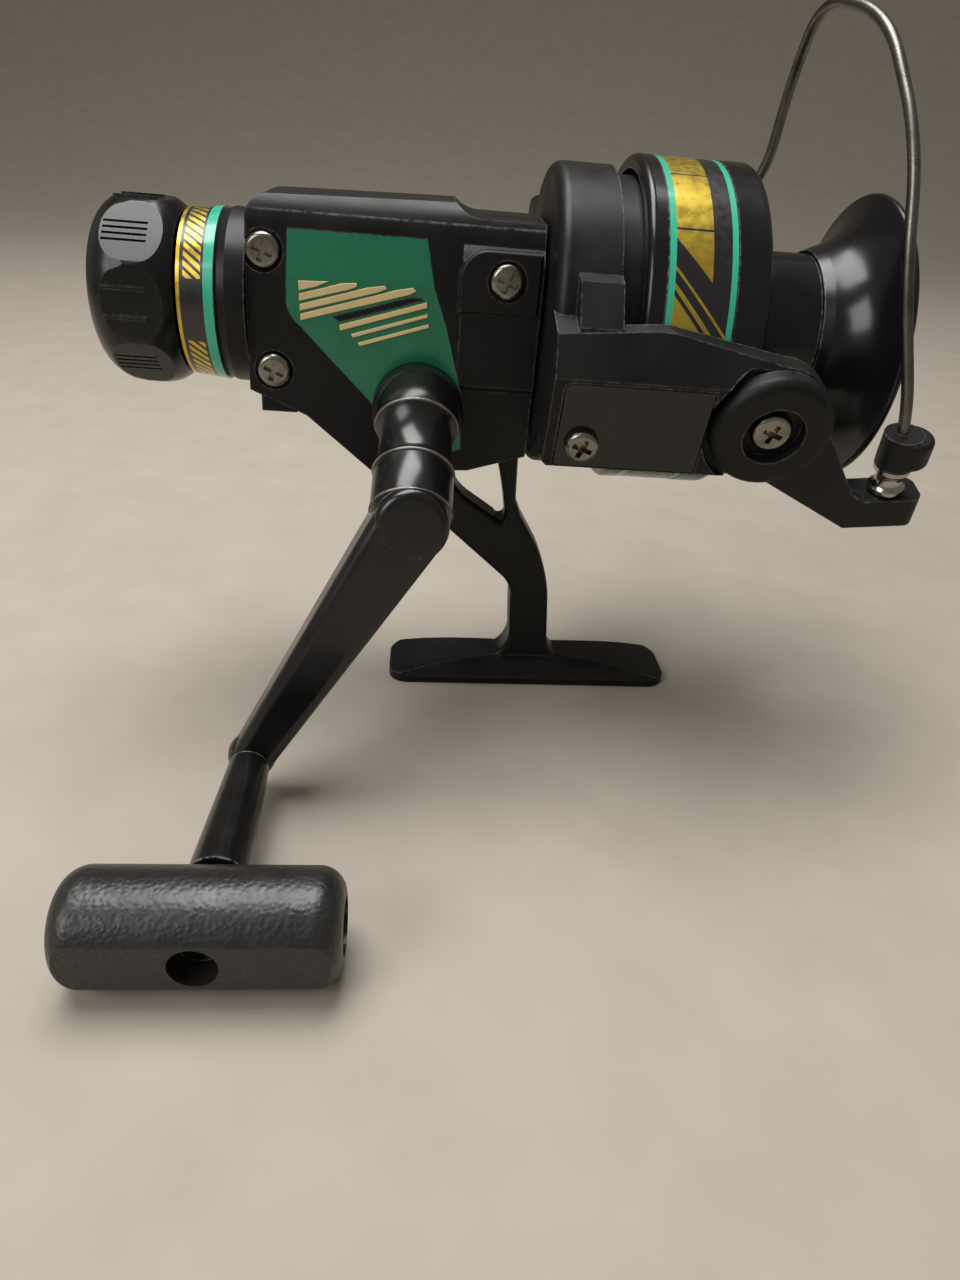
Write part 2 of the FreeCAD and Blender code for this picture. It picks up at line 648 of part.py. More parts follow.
def swept(points, radius):
    """Round wire along straight runs joined by tangent arcs, as large as the runs allow."""
    edges = []
    here = points[0]
    for before, corner, after in zip(points, points[1:], points[2:]):
        back = before - corner
        ahead = after - corner
        reach = 0.45 * min(back.Length, ahead.Length)
        back.normalize()
        ahead.normalize()
        first = corner + back * reach
        last = corner + ahead * reach
        half = back.getAngle(ahead) / 2
        arc_r = reach * math.tan(half)
        bow = math.hypot(reach, arc_r) - arc_r
        middle = corner + (back + ahead).normalize() * bow
        edges.append(Part.LineSegment(here, first).toShape())
        edges.append(Part.Arc(first, middle, last).toShape())
        here = last
    edges.append(Part.LineSegment(here, points[-1]).toShape())
    path = Part.Wire(edges)
    start = points[1] - points[0]
    profile = Part.Wire(Part.makeCircle(radius, points[0], start))
    return path.makePipeShell([profile], True, False)


def far_end():
    """Where the bail wire ends in the far holder."""
    near = Part.Vertex(V(PIVOT_X + 4.2, -34.0, AXIS_H - 6.0))
    return turned(opposite(near)).Point


def bail_wire():
    route = [stack_top()] + [V(*point) for point in BAIL_ROUTE] + [far_end()]
    return swept(route, WIRE_R)


def bail_holder_far():
    """Holder on the far pivot, with the ear that takes the end of the wire."""
    disc = opposite(bail_disc(8.6))
    ear = rod_y(PIVOT_X + 3.9, AXIS_H + 6.4, 3.6, 31.8, 35.4)
    ear = ear.cut(rod_y(PIVOT_X, AXIS_H, 7.0, 30, 40))
    holder = turned(one(disc.fuse(ear)))
    return holder.cut(bail_wire())


# ---------------------------------------------------------------- spool

def spool_body():
    body = lathe([(8.0, 26.3), (8.0, 27.7), ((8.4, 28.5), (9.4, SKIRT_R)), (11.3, SKIRT_R), (11.3, 28.25),
                  (22.8, 28.25), (22.8, SKIRT_R), (27.4, SKIRT_R), ((28.4, 28.3), (28.8, 27.4)),
                  (28.8, ARBOR_R), (43.4, ARBOR_R), (43.4, 13.4), (27.6, 13.4), (26.0, 12.0), (26.0, 26.3)])
    hub = lathe([(9.0, SHAFT_R), (9.0, 6.0), (24.8, 6.0), (24.8, 13.4), (46.0, 13.4), (46.0, 11.8), (27.0, 11.8),
                 (27.0, 6.0), (47.0, 6.0), (47.0, SHAFT_R)])
    return one(body.fuse(hub))


def spool_lip():
    """Cone and rim in front of the line, one turned piece pressed over the arbor."""
    return lathe([(43.5, 13.45), (43.5, 15.4), (45.2, 16.2), ((51.4, 20.6), (53.6, 25.0)),
                  ((54.4, LIP_R), (LIP_X, 25.0)), ((54.6, 22.6), (52.0, 19.6)), (47.4, 15.0), (46.2, 13.45)])


def spool_band():
    return lathe([(11.4, 28.25), (11.4, 28.62), (22.7, 28.62), (22.7, 28.25)])


def spool_click_wheel():
    teeth = 24
    outline = toothed(9.2, 10.4, teeth, V(22.6, 0, AXIS_H), ALONG, UP)
    return Part.Face(outline).extrude(V(1.6, 0, 0)).cut(rod_x(6.0, 20, 26))


def spool_front_plate():
    """Dished plate that closes the front of the spool round the button."""
    return lathe([(47.05, 6.6), (47.05, 14.4), (48.4, 14.4), (50.0, 9.4), (52.6, 8.6), (52.6, 6.6)])


def spool_button():
    """Push button that frees the spool from the main shaft."""
    cap = rod_x(6.3, 49.6, 54.6)
    return rounded(cap, 1.0, lambda p, e: p.x > 54.5)


# ---------------------------------------------------------------- crank

CRANK_BASE = V(DRIVE_X, -19.3, DRIVE_H)
CRANK_NECK = V(-28.1, -38.2, 51.0)


def knob_axis_point(y):
    """A point of the knob's spin axis in the reel's frame."""
    return level(Part.Vertex(V(KNOB_X, y, KNOB_R))).Point


def frame_rectangle(centre, across, deep, width, depth, corner):
    """Rounded rectangle round centre, for a loft."""
    points = []
    half_w = width / 2
    half_d = depth / 2
    edges = []
    for turn in range(4):
        sx, sy = ((1, 1), (-1, 1), (-1, -1), (1, -1))[turn]
        inner = centre + across * (sx * (half_w - corner)) + deep * (sy * (half_d - corner))
        first = inner + (across * (sx * corner) if sx * sy > 0 else deep * (sy * corner))
        last = inner + (deep * (sy * corner) if sx * sy > 0 else across * (sx * corner))
        middle = inner + across * (sx * corner * 0.7071) + deep * (sy * corner * 0.7071)
        points.append((first, middle, last))
    for turn in range(4):
        first, middle, last = points[turn]
        edges.append(Part.Arc(first, middle, last).toShape())
        edges.append(Part.LineSegment(last, points[(turn + 1) % 4][0]).toShape())
    return Part.Wire(edges)


def crank_shank():
    """Sleeve on the end of the drive shaft, leaning down to the crank arm."""
    lean = CRANK_NECK - CRANK_BASE
    length = lean.Length
    lean.normalize()
    tube = Part.makeCone(7.4, 6.7, length + 4.0, CRANK_BASE - lean * 4.0, lean)
    tube = tube.common(block((-60, 0), (-60, -19.4), (20, 90)))
    collar = rod_y(DRIVE_X, DRIVE_H, 7.9, -22.4, -19.4)
    tube = tube.fuse(rounded(collar, 0.8, lambda p, e: p.y < -22))
    return one(tube)


def crank_arm():
    """Tapered arm from the sleeve down to the spindle, round at both ends."""
    elbow = knob_axis_point(-46.0)
    along = elbow - CRANK_NECK
    length = along.Length
    along.normalize()
    deep = (ACROSS - along * ACROSS.dot(along)).normalize()
    across = along.cross(deep)
    top = frame_rectangle(CRANK_NECK, across, deep, 12.6, 10.0, 2.2)
    foot_ = frame_rectangle(CRANK_NECK + along * length, across, deep, 7.4, 7.2, 2.0)
    arm = Part.makeLoft([top, foot_], True, True)
    head = rod(CRANK_NECK - deep * 5.0, deep, 6.3, 10.0)
    head = rounded(head, 1.6, lambda p, e: abs(e.Length - 2 * math.pi * 6.3) < 0.1)
    knee = Part.makeSphere(4.3, elbow)
    arm = arm.fuse(head).fuse(knee)
    lean = (CRANK_NECK - CRANK_BASE).normalize()
    keep = Part.makeCone(7.4, 6.7, CRANK_NECK.distanceToPoint(CRANK_BASE), CRANK_BASE, lean)
    return one(arm.cut(keep).cut(crank_shank()).cut(knob_spindle()))


def knob_spindle():
    """Tapered neck between the crank arm and the knob, with the axle the knob turns on."""
    elbow = knob_axis_point(-49.6)
    face = knob_axis_point(-77.0)
    neck = Part.makeCone(3.5, 4.7, elbow.distanceToPoint(face), elbow, V(0, -1, 0))
    axle = rod(face, V(0, -1, 0), 2.4, 11.0)
    screw = rod(knob_axis_point(-88.0), V(0, -1, 0), 3.3, 1.2)
    return one(neck.fuse(axle).fuse(screw))


def crank_knob():
    """T-shaped grip, a rounded bar square to its axle, drawn in the foot's frame."""
    start = KNOB_X - KNOB_LENGTH / 2
    bar_ = rod(V(start, KNOB_Y, KNOB_R), ALONG, KNOB_R, KNOB_LENGTH)
    bar_ = rounded(bar_, 4.0, lambda p, e: abs(e.Length - 2 * math.pi * KNOB_R) < 0.1)
    bar_ = bar_.cut(block((start - 1, start + KNOB_LENGTH + 1), (KNOB_Y - 12, KNOB_Y - KNOB_FLAT), (-1, 20)))
    bar_ = bar_.cut(rod(V(KNOB_X + KNOB_LENGTH / 2 - 2.4, KNOB_Y, KNOB_R), ALONG, 4.2, 4))
    bar_ = bar_.cut(rod(V(KNOB_X, KNOB_Y + 20, KNOB_R), V(0, -1, 0), 2.4 + RUN, 60))
    bar_ = bar_.cut(rod(V(KNOB_X, -87.8, KNOB_R), V(0, -1, 0), 3.5, 12))
    bar_ = bar_.cut(rod(V(KNOB_X, -60, KNOB_R), V(0, -1, 0), 4.9, 17.3))
    return level(one(bar_))


def knob_end_cap():
    cap = rod(V(KNOB_X + KNOB_LENGTH / 2 - 2.4, KNOB_Y, KNOB_R), ALONG, 4.2, 1.4)
    return level(cap.cut(rod(V(KNOB_X + KNOB_LENGTH / 2 - 1.8, KNOB_Y, KNOB_R), ALONG, 1.3, 4)))


def crank_cap():
    """Slotted nut on the far end of the drive shaft that holds the crank in."""
    cap = rod_y(DRIVE_X, DRIVE_H, 6.6, 15.3, 19.2)
    cap = rounded(cap, 1.2, lambda p, e: p.y > 19.1)
    cap = cap.fuse(rod_y(DRIVE_X, DRIVE_H, 3.0, 14.95, 15.4))
    slot = block((DRIVE_X - 7.0, DRIVE_X + 7.0), (17.8, 20.0), (DRIVE_H - 0.8, DRIVE_H + 0.8))
    return one(cap.cut(slot))


PIECES = [main_housing, side_cover, side_label, cover_screws, drive_bushes, pinion_bearing, drag_collar,
          drag_band, drag_washers, drag_sleeve, drag_spring_washer, drag_knob, drive_gear,
          oscillation_gear, oscillation_pin, pinion_gear, ratchet_wheel, main_shaft,
          oscillation_slider, shaft_clips, anti_reverse_lever, anti_reverse_pin, rotor, arm_cover_near,
          arm_cover_far, arm_cover_screws, rotor_nut, bail_spring, trip_lever, bail_pivot_screws,
          bail_arm, line_roller, roller_axle, roller_cap, bail_wire, bail_holder_far, spool_body,
          spool_lip, spool_band, spool_click_wheel, spool_front_plate, spool_button, crank_shank,
          crank_arm, knob_spindle, crank_knob, knob_end_cap, crank_cap]


def main():
    os.makedirs("parts", exist_ok=True)
    for make in PIECES:
        shape = make()
        shape.rotate(ORIGIN, ACROSS, TILT)
        shape.exportStep("parts/" + make.__name__ + ".step")
        print(make.__name__, shape.isValid(), len(shape.Solids), round(shape.Volume, 1))


main()
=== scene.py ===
# %% [markdown]
# # A spinning reel, finished in Blender
# The mechanical model comes in as a fixed frame: housing, rotor, spool, bail and crank are already
# in place and already move on their joints. This lesson adds what a mechanical model leaves out:
# printed foils, raised label ornament, a turned crank sleeve, worn edges and a fitting material for
# each surface. All sizes are in millimetres and are turned to metres by MM. The reel lies along X
# with its spool towards +X, it stands on its foot at the origin, and its axis dips a little to the
# front.

# %% Load the frame
import math

import bmesh
import bpy
from mathutils import Matrix, Vector


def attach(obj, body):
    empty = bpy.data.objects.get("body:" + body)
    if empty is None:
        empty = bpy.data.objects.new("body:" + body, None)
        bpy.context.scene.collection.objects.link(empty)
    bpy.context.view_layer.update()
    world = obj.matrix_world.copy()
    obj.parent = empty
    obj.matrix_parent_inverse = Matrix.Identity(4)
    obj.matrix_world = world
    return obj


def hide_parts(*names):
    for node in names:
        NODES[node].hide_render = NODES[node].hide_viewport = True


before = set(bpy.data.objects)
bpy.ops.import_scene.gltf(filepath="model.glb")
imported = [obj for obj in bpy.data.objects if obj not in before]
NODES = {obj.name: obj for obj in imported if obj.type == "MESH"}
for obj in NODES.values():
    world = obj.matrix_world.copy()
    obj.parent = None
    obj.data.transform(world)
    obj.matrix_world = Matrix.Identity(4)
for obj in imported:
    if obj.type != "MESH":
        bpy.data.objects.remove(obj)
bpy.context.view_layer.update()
MM = 0.001

# %% [markdown]
# ## The reel's own axes
# The spool axis is 78 mm above the foot and dips 1.36 degrees. It is easier to draw along a level
# axis and turn the finished mesh once, so `settle` turns a mesh from the level drawing to its place.

# %% Axes of the reel
AXIS_HEIGHT = 78.0
DIP = math.radians(1.356)
TO_PLACE = Matrix.Rotation(DIP, 4, "Y") @ Matrix.Scale(MM, 4)


def settle(name, mesh_builder, body, material, smooth=True):
    """Turns a finished bmesh, drawn level in millimetres, into a piece that rides on a body."""
    bmesh.ops.transform(mesh_builder, matrix=TO_PLACE, verts=mesh_builder.verts)
    bmesh.ops.recalc_face_normals(mesh_builder, faces=mesh_builder.faces)
    mesh = bpy.data.meshes.new(name)
    mesh_builder.to_mesh(mesh)
    mesh_builder.free()
    for polygon in mesh.polygons:
        polygon.use_smooth = smooth
    piece = bpy.data.objects.new(name, mesh)
    bpy.context.scene.collection.objects.link(piece)
    mesh.materials.append(material)
    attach(piece, body)
    print(name, len(mesh.polygons), "faces on", body)
    return piece


# %% [markdown]
# ## Two helpers for every material
# Colours are written as the hex values a painter reads from a chart, and the renderer wants linear
# light, so one function converts them. A second one adds a node, sets it and links it in one line.

# %% Colour and node helpers
def colour(hex_text):
    """Linear RGBA of an sRGB hex colour."""
    channels = [int(hex_text[i:i + 2], 16) / 255 for i in (1, 3, 5)]
    light = [c / 12.92 if c <= 0.04045 else ((c + 0.055) / 1.055) ** 2.4 for c in channels]
    return (*light, 1.0)


def add(tree, kind, inputs=None, **settings):
    """Adds a node; each input is a plain value or another node's output."""
    node = tree.nodes.new("ShaderNode" + kind)
    for name, value in settings.items():
        setattr(node, name, value)
    for key, value in (inputs or {}).items():
        if isinstance(value, bpy.types.NodeSocket):
            tree.links.new(value, node.inputs[key])
        else:
            node.inputs[key].default_value = value
    return node


def fresh(name):
    """An empty material with its output; returns the material and its node tree."""
    material = bpy.data.materials.new(name)
    material.use_nodes = True
    material.node_tree.nodes.clear()
    return material, material.node_tree


def per_mm(size):
    """Texture scale that gives one feature every `size` millimetres."""
    return 1.0 / (size * MM)


# %% [markdown]
# ## Moulded black plastic
# The housing, rotor, spool, bail and crank are glass-filled nylon or ABS, moulded in black. A mould
# leaves a fine, even grain; hands polish it in patches and rub the edges grey. The grain is a
# bump, the handling is a slow change in roughness, and the worn edge comes from comparing the
# surface's normal with one rounded over a few tenths of a millimetre: they differ only at edges.

# %% Black plastics
def black_plastic(name, tint, rough, grain, depth, wear, wear_tint="#6e6b68", edge=0.5, shine=0.5):
    material, tree = fresh(name)
    place = add(tree, "TexCoord").outputs["Object"]
    handled = add(tree, "TexNoise", {"Vector": place, "Scale": per_mm(9), "Detail": 5.0})
    specks = add(tree, "TexNoise", {"Vector": place, "Scale": per_mm(0.9), "Detail": 6.0})
    grains = add(tree, "TexNoise", {"Vector": place, "Scale": per_mm(grain), "Detail": 2.0})
    bump = add(tree, "Bump", {"Height": grains.outputs["Fac"], "Strength": 0.6,
                              "Distance": depth * MM})
    rounded_over = add(tree, "Bevel", {"Radius": edge * MM}, samples=4)
    straight = add(tree, "NewGeometry").outputs["Normal"]
    alike = add(tree, "VectorMath", {0: rounded_over.outputs["Normal"], 1: straight},
                operation="DOT_PRODUCT")
    edge_line = add(tree, "MapRange", {"Value": alike.outputs["Value"], "From Min": 0.985,
                                       "From Max": 0.86, "To Min": 0.0, "To Max": 1.0})
    patchy = add(tree, "MapRange", {"Value": specks.outputs["Fac"], "From Min": 0.35,
                                    "From Max": 0.62, "To Min": 0.0, "To Max": wear})
    rubbed = add(tree, "Math", {0: edge_line.outputs["Result"], 1: patchy.outputs["Result"]},
                 operation="MULTIPLY")
    dusty = add(tree, "MapRange", {"Value": handled.outputs["Fac"], "From Min": 0.35,
                                   "From Max": 0.75, "To Min": 0.0, "To Max": 0.35})
    base = add(tree, "Mix", {"Factor": dusty.outputs["Result"], 6: colour(tint),
                             7: colour("#1c1a19")}, data_type="RGBA")
    shade = add(tree, "Mix", {"Factor": rubbed.outputs["Value"], 6: base.outputs[2],
                              7: colour(wear_tint)}, data_type="RGBA")
    polish = add(tree, "MapRange", {"Value": handled.outputs["Fac"], "From Min": 0.3,
                                    "From Max": 0.7, "To Min": rough * 0.78,
                                    "To Max": min(1.0, rough * 1.25)})
    shader = add(tree, "BsdfPrincipled", {"Base Color": shade.outputs[2],
                                          "Roughness": polish.outputs["Result"],
                                          "Normal": bump.outputs["Normal"],
                                          "IOR": 1.5, "Specular IOR Level": shine})
    add(tree, "OutputMaterial", {"Surface": shader.outputs["BSDF"]})
    print("material", name)
    return material


satin_housing = black_plastic("moulded_nylon_satin_black", "#0e0d0d", 0.38, 0.35, 0.02, 0.75,
                              shine=0.25)
satin_rotor = black_plastic("moulded_nylon_rotor_black", "#100f0f", 0.44, 0.35, 0.02, 0.9,
                            shine=0.25)
gloss_spool = black_plastic("moulded_abs_gloss_black", "#0e0e10", 0.22, 0.5, 0.006, 0.9,
                            "#8b8984", shine=0.4)
gloss_knob = black_plastic("moulded_abs_drag_knob", "#0c0c0d", 0.26, 0.6, 0.006, 0.55,
                           shine=0.35)
crank_black = black_plastic("painted_zinc_crank", "#100f0f", 0.24, 0.4, 0.01, 1.0, "#a09d98", 0.6)
arm_window = black_plastic("moulded_abs_arm_window", "#09090a", 0.10, 0.6, 0.003, 0.5)

# %% [markdown]
# ## Pebbled grip plastic
# The crank's grip is moulded with round pebbles about 0.7 mm across, so that wet fingers hold it.
# Cells of a Voronoi texture are such pebbles; the distance to a cell's middle is the height.

# %% Grip
def pebbled_grip():
    material, tree = fresh("moulded_pebbled_grip")
    place = add(tree, "TexCoord").outputs["Object"]
    pebbles = add(tree, "TexVoronoi", {"Vector": place, "Scale": per_mm(0.7)},
                  feature="SMOOTH_F1")
    dents = add(tree, "TexNoise", {"Vector": place, "Scale": per_mm(6), "Detail": 4.0})
    bump = add(tree, "Bump", {"Height": pebbles.outputs["Distance"], "Strength": 0.9,
                              "Distance": 0.09 * MM}, invert=True)
    dust = add(tree, "Mix", {"Factor": pebbles.outputs["Distance"], 6: colour("#181716"),
                             7: colour("#2c2a28")}, data_type="RGBA")
    polish = add(tree, "MapRange", {"Value": dents.outputs["Fac"], "From Min": 0.3,
                                    "From Max": 0.7, "To Min": 0.26, "To Max": 0.44})
    shader = add(tree, "BsdfPrincipled", {"Base Color": dust.outputs[2],
                                          "Roughness": polish.outputs["Result"],
                                          "Normal": bump.outputs["Normal"], "IOR": 1.5})
    add(tree, "OutputMaterial", {"Surface": shader.outputs["BSDF"]})
    return material


grip = pebbled_grip()

# %% [markdown]
# ## Metals
# Steel screws, the polished bail wire and roller, ground shafts, a zinc gear and a brass pinion are
# one family: a metallic surface whose roughness wanders a little and carries fine marks. The marks
# are noise stretched along the axis a part was turned or drawn on.

# %% Metals
def metal(name, tint, dark_tint, rough, mark, stretch=(1.0, 1.0, 1.0)):
    material, tree = fresh(name)
    place = add(tree, "TexCoord").outputs["Object"]
    drawn = add(tree, "Mapping", {"Vector": place, "Scale": stretch})
    marks = add(tree, "TexNoise", {"Vector": drawn.outputs["Vector"], "Scale": per_mm(mark),
                                   "Detail": 6.0, "Roughness": 0.6})
    stains = add(tree, "TexNoise", {"Vector": place, "Scale": per_mm(4), "Detail": 5.0})
    dull = add(tree, "MapRange", {"Value": stains.outputs["Fac"], "From Min": 0.45,
                                  "From Max": 0.75, "To Min": 0.0, "To Max": 0.7})
    shade = add(tree, "Mix", {"Factor": dull.outputs["Result"], 6: colour(tint),
                              7: colour(dark_tint)}, data_type="RGBA")
    polish = add(tree, "MapRange", {"Value": marks.outputs["Fac"], "From Min": 0.3,
                                    "From Max": 0.7, "To Min": rough * 0.7,
                                    "To Max": rough * 1.5})
    bump = add(tree, "Bump", {"Height": marks.outputs["Fac"], "Strength": 0.35,
                              "Distance": 0.01 * MM})
    shader = add(tree, "BsdfPrincipled", {"Base Color": shade.outputs[2], "Metallic": 1.0,
                                          "Roughness": polish.outputs["Result"],
                                          "Normal": bump.outputs["Normal"]})
    add(tree, "OutputMaterial", {"Surface": shader.outputs["BSDF"]})
    print("material", name)
    return material


screw_steel = metal("nickelled_steel_screw", "#8f8a82", "#5c554b", 0.24, 0.3)
bright_steel = metal("polished_stainless_steel", "#b4b0a9", "#77726a", 0.18, 0.3)
shaft_steel = metal("ground_steel_shaft", "#bdbab4", "#8f8a82", 0.28, 0.25, (0.1, 1.0, 1.0))
gear_zinc = metal("cast_zinc_gear", "#9b9a98", "#6f6d6a", 0.42, 0.5)
worn_edge = metal("rubbed_zinc_under_paint", "#8f8b84", "#2b2927", 0.42, 0.6)
wire_steel = metal("drawn_bail_wire", "#6f6b65", "#4a4640", 0.32, 0.3)
pinion_brass = metal("machined_brass_pinion", "#c9a45a", "#8d6c34", 0.30, 0.3, (0.2, 1.0, 1.0))

# %% [markdown]
# ## Drag washers
# The drag stack is felt and oiled fibre: rough, brown, with short strands about 0.3 mm thick.

# %% Fibre
def oiled_fibre():
    material, tree = fresh("oiled_felt_washer")
    place = add(tree, "TexCoord").outputs["Object"]
    strands = add(tree, "TexNoise", {"Vector": place, "Scale": per_mm(0.3), "Detail": 4.0})
    shade = add(tree, "Mix", {"Factor": strands.outputs["Fac"], 6: colour("#4a3a26"),
                              7: colour("#806844")}, data_type="RGBA")
    bump = add(tree, "Bump", {"Height": strands.outputs["Fac"], "Distance": 0.08 * MM})
    shader = add(tree, "BsdfPrincipled", {"Base Color": shade.outputs[2], "Roughness": 0.85,
                                          "Normal": bump.outputs["Normal"]})
    add(tree, "OutputMaterial", {"Surface": shader.outputs["BSDF"]})
    return material


fibre = oiled_fibre()

# %% [markdown]
# ## Green side label and gold print
# The side label is a green metallic foil under clear lacquer, and its raised ornament is hot
# stamped gold. Foil is a metal seen through tinted lacquer: partly metallic, with a clear coat.

# %% Foils
def foil(name, tint, deep_tint, rough, metallic):
    material, tree = fresh(name)
    place = add(tree, "TexCoord").outputs["Object"]
    clouds = add(tree, "TexNoise", {"Vector": place, "Scale": per_mm(7), "Detail": 4.0})
    flakes = add(tree, "TexNoise", {"Vector": place, "Scale": per_mm(0.18), "Detail": 2.0})
    shade = add(tree, "Mix", {"Factor": clouds.outputs["Fac"], 6: colour(tint),
                              7: colour(deep_tint)}, data_type="RGBA")
    bump = add(tree, "Bump", {"Height": flakes.outputs["Fac"], "Strength": 0.4,
                              "Distance": 0.006 * MM})
    polish = add(tree, "MapRange", {"Value": clouds.outputs["Fac"], "From Min": 0.3,
                                    "From Max": 0.7, "To Min": rough * 0.8,
                                    "To Max": rough * 1.3})
    shader = add(tree, "BsdfPrincipled", {"Base Color": shade.outputs[2], "Metallic": metallic,
                                          "Roughness": polish.outputs["Result"],
                                          "Normal": bump.outputs["Normal"],
                                          "Coat Weight": 0.5, "Coat Roughness": 0.15})
    add(tree, "OutputMaterial", {"Surface": shader.outputs["BSDF"]})
    print("material", name)
    return material


green_foil = foil("green_label_foil", "#17805a", "#116a4a", 0.32, 0.35)
gold_print = foil("hot_stamped_gold", "#efdba8", "#d8bb80", 0.30, 0.35)

# %% [markdown]
# ## Printed bands
# The bands round the skirt and behind the housing are printed metal foil: bright gold where the
# ink is left out, black ink, and teal lines at the edges. The drawing depends only on how far
# round the spool a point lies and how far along it, so both are worked out from Object
# coordinates: the mapping undoes the dip and moves the axis to the origin. Slanted stripes are
# bands of one "slant" number, the turn minus a share of the distance along. The drawing repeats
# on the far side.

# %% Band coordinates and masks
def band_place(tree):
    """Distance along the axis in mm and turn about it in degrees, 0 on top and 90 in front."""
    place = add(tree, "TexCoord").outputs["Object"]
    level = add(tree, "Mapping", {"Vector": place, "Rotation": (0.0, -DIP, 0.0),
                                  "Location": (0.0, 0.0, -AXIS_HEIGHT * MM)})
    parts = add(tree, "SeparateXYZ", {"Vector": level.outputs["Vector"]})
    along = add(tree, "Math", {0: parts.outputs["X"], 1: 1 / MM}, operation="MULTIPLY")
    front = add(tree, "Math", {0: parts.outputs["Y"], 1: -1.0}, operation="MULTIPLY")
    turn = add(tree, "Math", {0: front.outputs["Value"], 1: parts.outputs["Z"]},
               operation="ARCTAN2")
    degrees = add(tree, "Math", {0: turn.outputs["Value"]}, operation="DEGREES")
    half = add(tree, "Math", {0: degrees.outputs["Value"], 1: 135.0, 2: -45.0},
               operation="WRAP")
    return place, along.outputs["Value"], half.outputs["Value"]


def between(tree, value, low, high):
    """1 where value lies from low to high, else 0."""
    middle, reach = (low + high) / 2, (high - low) / 2
    return add(tree, "Math", {0: value, 1: middle, 2: reach},
               operation="COMPARE").outputs["Value"]


def both(tree, first, second):
    return add(tree, "Math", {0: first, 1: second}, operation="MULTIPLY").outputs["Value"]


def either(tree, masks):
    total = masks[0]
    for mask in masks[1:]:
        total = add(tree, "Math", {0: total, 1: mask}, operation="MAXIMUM").outputs["Value"]
    return total


def printed_foil(name, draw):
    """Foil under ink; draw returns the masks of bare gold and of teal ink."""
    material, tree = fresh(name)
    place, along, turn = band_place(tree)
    gold, teal = draw(tree, along, turn)
    clouds = add(tree, "TexNoise", {"Vector": place, "Scale": per_mm(5), "Detail": 5.0})
    scuffs = add(tree, "TexNoise", {"Vector": place, "Scale": per_mm(1.5), "Detail": 3.0})
    bare = add(tree, "Mix", {"Factor": clouds.outputs["Fac"], 6: colour("#d8c34a"),
                             7: colour("#b98f2a")}, data_type="RGBA")
    inked = add(tree, "Mix", {"Factor": gold, 6: colour("#151413"), 7: bare.outputs[2]},
                data_type="RGBA")
    shade = add(tree, "Mix", {"Factor": teal, 6: inked.outputs[2], 7: colour("#2fae8c")},
                data_type="RGBA")
    polish = add(tree, "MapRange", {"Value": scuffs.outputs["Fac"], "From Min": 0.3,
                                    "From Max": 0.7, "To Min": 0.22, "To Max": 0.42})
    bump = add(tree, "Bump", {"Height": scuffs.outputs["Fac"], "Strength": 0.4,
                              "Distance": 0.01 * MM})
    shader = add(tree, "BsdfPrincipled", {"Base Color": shade.outputs[2],
                                          "Metallic": both(tree, gold, 0.85),
                                          "Roughness": polish.outputs["Result"],
                                          "Normal": bump.outputs["Normal"],
                                          "Coat Weight": 0.4, "Coat Roughness": 0.1})
    add(tree, "OutputMaterial", {"Surface": shader.outputs["BSDF"]})
    print("material", name)
    return material


# %% [markdown]
# ## What the two bands show
# The skirt's band has a teal line at each edge, a gold panel whose lower end is cut on the slant,
# two thin slanted stripes and a second gold panel; thin black lines cross the first panel. The
# rear band has a gold edge line, groups of slanted gold bars and a teal edge.

# %% Draw the bands
SKIRT_LINES = [(11.4, 12.5), (21.7, 22.7)]      # teal, in mm along
SLANT = 2.26                                    # degrees of turn for each millimetre along
FIRST_PANEL = {"along": (12.5, 18.6), "slant": (-80.0, 52.0), "turn": (-14.0, 135.0)}
SECOND_PANEL = {"along": (12.5, 19.0), "slant": (70.4, 200.0), "turn": (0.0, 104.0)}
PANEL_CUTS = [(22.8, 23.6), (48.2, 49.0)]       # black lines, in degrees of turn
STRIPES = [(61.2, 62.5), (66.4, 68.5)]          # thin and thick, in degrees of slant
REAR_SLANT = 3.4
REAR_START = 69.0
BAR_PITCH, BAR_WIDTH = 6.4, 3.7                 # degrees
BAR_ALONG = (-68.3, -65.3)
BAR_GROUPS = [(-45.0, 72.0), (114.0, 135.0)]
REAR_GOLD_EDGE, REAR_TEAL_EDGE = (-69.6, -68.9), (-64.9, -63.1)


def slanted(tree, along, turn, rate, shift):
    """The turn less a share of the distance along."""
    run = add(tree, "Math", {0: along, 1: -rate, 2: shift}, operation="MULTIPLY_ADD")
    return add(tree, "Math", {0: turn, 1: run.outputs["Value"]}, operation="ADD").outputs["Value"]


def panel_mask(tree, panel, along, slant, turn):
    sides = both(tree, between(tree, slant, *panel["slant"]), between(tree, turn, *panel["turn"]))
    return both(tree, between(tree, along, *panel["along"]), sides)


def draw_skirt(tree, along, turn):
    slant = slanted(tree, along, turn, SLANT, SLANT * FIRST_PANEL["along"][0])
    first = panel_mask(tree, FIRST_PANEL, along, slant, turn)
    for cut in PANEL_CUTS:
        clear = add(tree, "Math", {0: 1.0, 1: between(tree, turn, *cut)}, operation="SUBTRACT")
        first = both(tree, first, clear.outputs["Value"])
    second = panel_mask(tree, SECOND_PANEL, along, slant, turn)
    inside = between(tree, along, FIRST_PANEL["along"][0], SKIRT_LINES[1][0])
    stripes = [both(tree, inside, between(tree, slant, *stripe)) for stripe in STRIPES]
    teal = either(tree, [between(tree, along, *line) for line in SKIRT_LINES])
    return either(tree, [first, second] + stripes), teal


